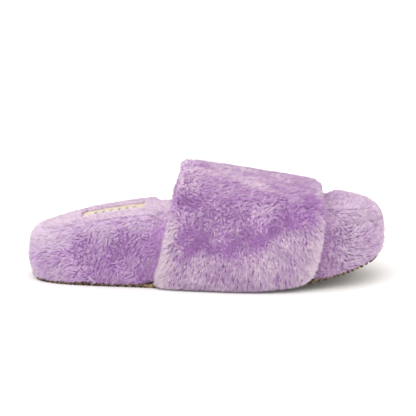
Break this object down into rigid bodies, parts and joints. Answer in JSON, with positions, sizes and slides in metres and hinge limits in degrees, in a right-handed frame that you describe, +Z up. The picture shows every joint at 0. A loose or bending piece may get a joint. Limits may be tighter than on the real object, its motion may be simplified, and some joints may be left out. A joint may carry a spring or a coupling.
{
  "type": "fluffy house slipper",
  "caption": "Fluffy slide slipper for the right foot: one wide faux-fur strap over a fur-wrapped foam platform with open heel and toe and a ribbed rubber outsole.",
  "frame": {"origin": "centre of the bounding box, on the floor that the outsole stands on", "axes": "+X from heel to toe, +Y from the outer side of the foot to the inner side, +Z up"},
  "size_m": [0.271, 0.1213, 0.0902],
  "materials": {
    "lilac_plush_band": "long-pile faux fur in lilac, light tips and darker roots",
    "lilac_plush_strap": "the same long-pile faux fur, brushed in several directions",
    "lilac_plush_footbed": "the same faux fur, paler and flattened by the foot",
    "lining_knit": "short brushed knit",
    "soft_foam": "open-cell polyurethane foam",
    "eva_foam": "closed-cell EVA foam",
    "fibre_board": "pressed fibre board",
    "filler_felt": "needled felt",
    "tan_rubber": "moulded thermoplastic rubber, matt tan",
    "lilac_thread": "twisted polyester thread",
    "label_cloth": "woven cream ribbon",
    "label_border_thread": "cream polyester thread",
    "label_motif_thread": "grey-green polyester thread"
  },
  "bodies": {
    "root": {"outsole": "tan_rubber", "bottom_filler": "filler_felt", "midsole": "eva_foam", "insole_board": "fibre_board", "footbed_foam": "soft_foam", "footbed_cover": "lilac_plush_footbed", "side_band": "lilac_plush_band", "rim_seam_thread": "lilac_thread", "strap_lining": "lining_knit", "strap_foam": "soft_foam", "strap_outer": "lilac_plush_strap", "strap_rear_thread": "lilac_thread", "strap_front_thread": "lilac_thread", "heel_label": "label_cloth", "label_stitches": "label_border_thread", "label_motif": "label_motif_thread"}
  },
  "joints": []
}
